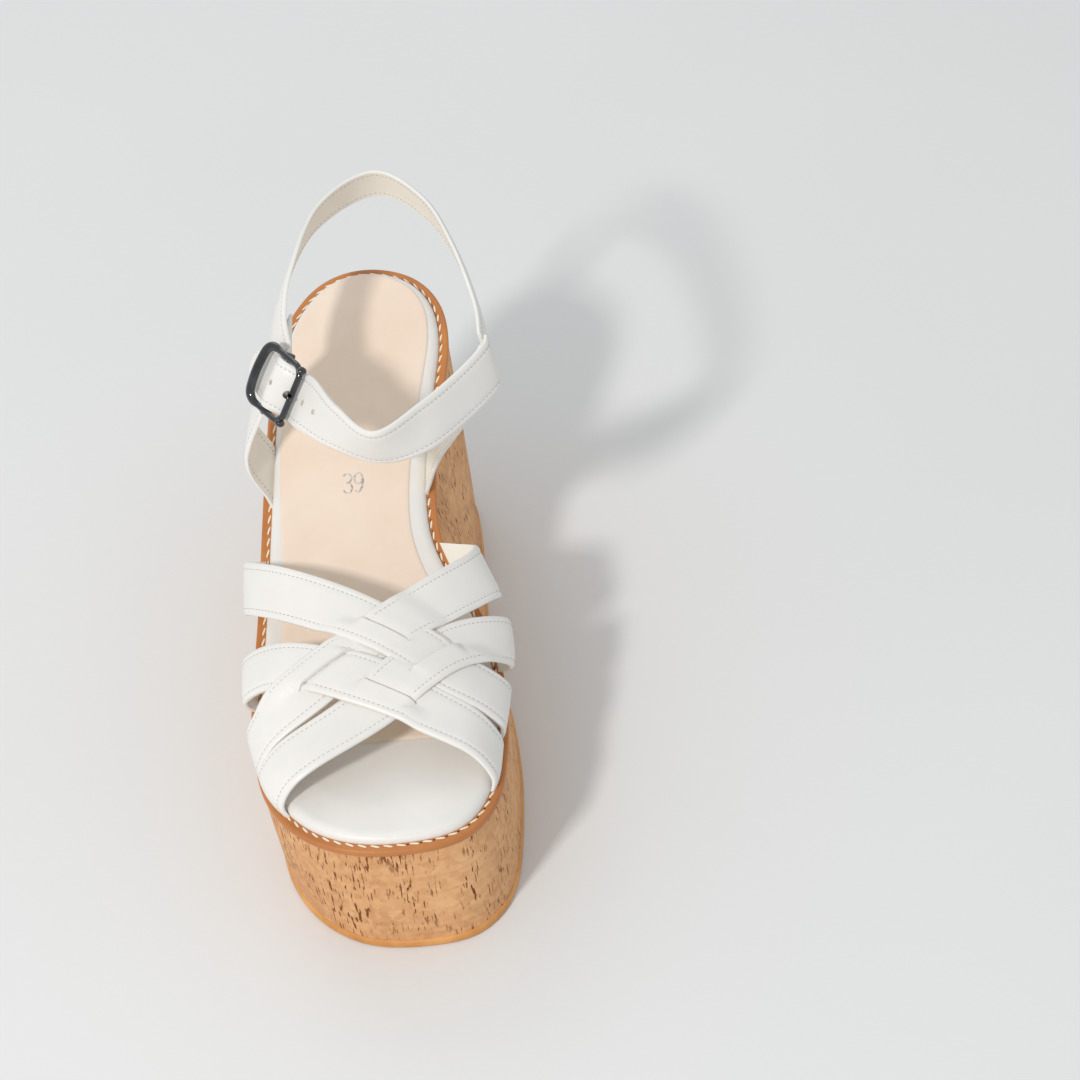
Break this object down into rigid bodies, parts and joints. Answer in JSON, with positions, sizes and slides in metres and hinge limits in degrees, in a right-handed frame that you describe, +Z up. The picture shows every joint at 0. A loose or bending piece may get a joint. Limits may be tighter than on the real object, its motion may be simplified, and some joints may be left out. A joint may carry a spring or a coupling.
{
  "type": "wedge sandal",
  "caption": "Open-toe platform wedge sandal for a right foot, with woven forefoot straps, a stitched welt and a buckled ankle strap.",
  "frame": {"origin": "centre of the overall footprint, on the floor", "axes": "-Y to the toe, +Y to the heel, +X to the inner side of a right foot, +Z up"},
  "size_m": [0.1076, 0.259, 0.1718],
  "materials": {
    "outsole_rubber": "matte amber",
    "core_foam": "moulded cork composite",
    "cork": "natural cork sheet",
    "shank_steel": "spring steel",
    "welt_leather": "smooth tan",
    "thread": "waxed thread",
    "fibre_board": "pressed fibre",
    "cushion_foam": "soft foam",
    "white_leather": "smooth white",
    "lining_leather": "cream lining",
    "sock_leather": "soft beige",
    "chrome": "polished"
  },
  "bodies": {
    "sole": {"outsole": "outsole_rubber", "wedge_core": "core_foam", "cork_wrap": "cork", "shank": "shank_steel", "welt": "welt_leather", "welt_thread": "thread", "insole_board": "fibre_board", "footbed_foam": "cushion_foam", "footbed_cover": "white_leather", "sock_lining": "sock_leather", "vamp_strap_a1_outer": "white_leather", "vamp_strap_a1_lining": "lining_leather", "vamp_strap_a2_outer": "white_leather", "vamp_strap_a2_lining": "lining_leather", "vamp_strap_b1_outer": "white_leather", "vamp_strap_b1_lining": "lining_leather", "vamp_strap_b2_outer": "white_leather", "vamp_strap_b2_lining": "lining_leather"},
    "ankle": {"back_strap_outer": "white_leather", "back_strap_lining": "lining_leather", "front_strap_outer": "white_leather", "front_strap_lining": "lining_leather", "inner_quarter_outer": "white_leather", "inner_quarter_lining": "lining_leather", "outer_quarter_outer": "white_leather", "outer_quarter_lining": "lining_leather", "buckle_tab": "white_leather"},
    "buckle": {"buckle_frame": "chrome"},
    "prong": {"buckle_prong": "chrome"}
  },
  "joints": [
    {"name": "ankle_swing", "type": "hinge", "parent": "sole", "child": "ankle", "pos_m": [0, 0.042, 0.0848], "axis": [1, 0, 0], "range_deg": [-5, 7], "stiffness_Nm_per_rad": 1},
    {"name": "buckle_rock", "type": "hinge", "parent": "ankle", "child": "buckle", "pos_m": [-0.02965, 0.03304, 0.1391], "axis": [-0.4841, -0.3521, -0.8011], "range_deg": [-3, 3]},
    {"name": "prong_lift", "type": "hinge", "parent": "buckle", "child": "prong", "pos_m": [-0.02965, 0.03304, 0.1391], "axis": [-0.4841, -0.3521, -0.8011], "range_deg": [0, 5]}
  ]
}
